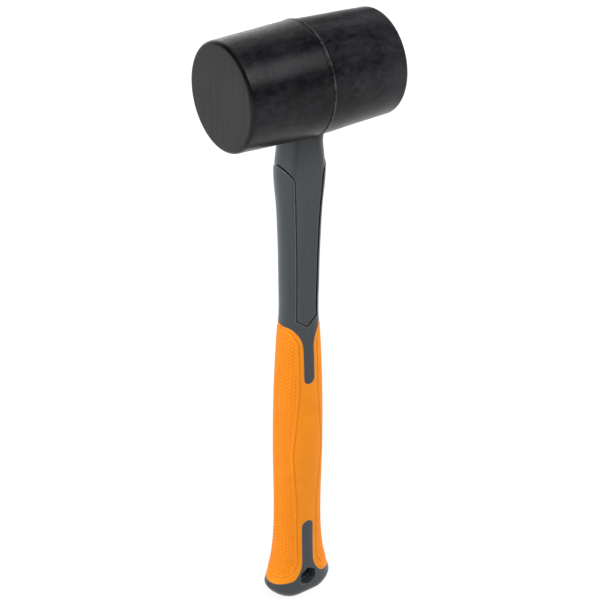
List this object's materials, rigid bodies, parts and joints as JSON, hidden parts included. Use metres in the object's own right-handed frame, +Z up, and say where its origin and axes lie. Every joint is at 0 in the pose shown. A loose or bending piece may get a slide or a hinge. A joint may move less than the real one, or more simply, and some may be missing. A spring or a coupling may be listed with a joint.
{
  "type": "rubber mallet",
  "caption": "Rubber mallet: a round black rubber head on a dark plastic-jacketed fibreglass handle with a soft orange grip and a hanging hole through the butt.",
  "frame": {"origin": "middle of the butt's underside, where the handle's axis meets it", "axes": "+Z up the handle to the head, X along the head between its two striking faces, Y across the two wide faces of the handle"},
  "size_m": [0.0908, 0.058, 0.337],
  "materials": {
    "head_rubber": "moulded, dull satin",
    "epoxy": "cured, dull",
    "fibreglass": "pultruded, fine lengthwise fibres",
    "jacket_plastic": "moulded, satin",
    "grip_rubber": "soft, dull, fine moulded texture"
  },
  "bodies": {
    "root": {"mallet_head": "head_rubber", "head_adhesive": "epoxy", "fibreglass_core": "fibreglass", "handle_jacket": "jacket_plastic", "grip_sleeve": "grip_rubber"}
  },
  "joints": []
}
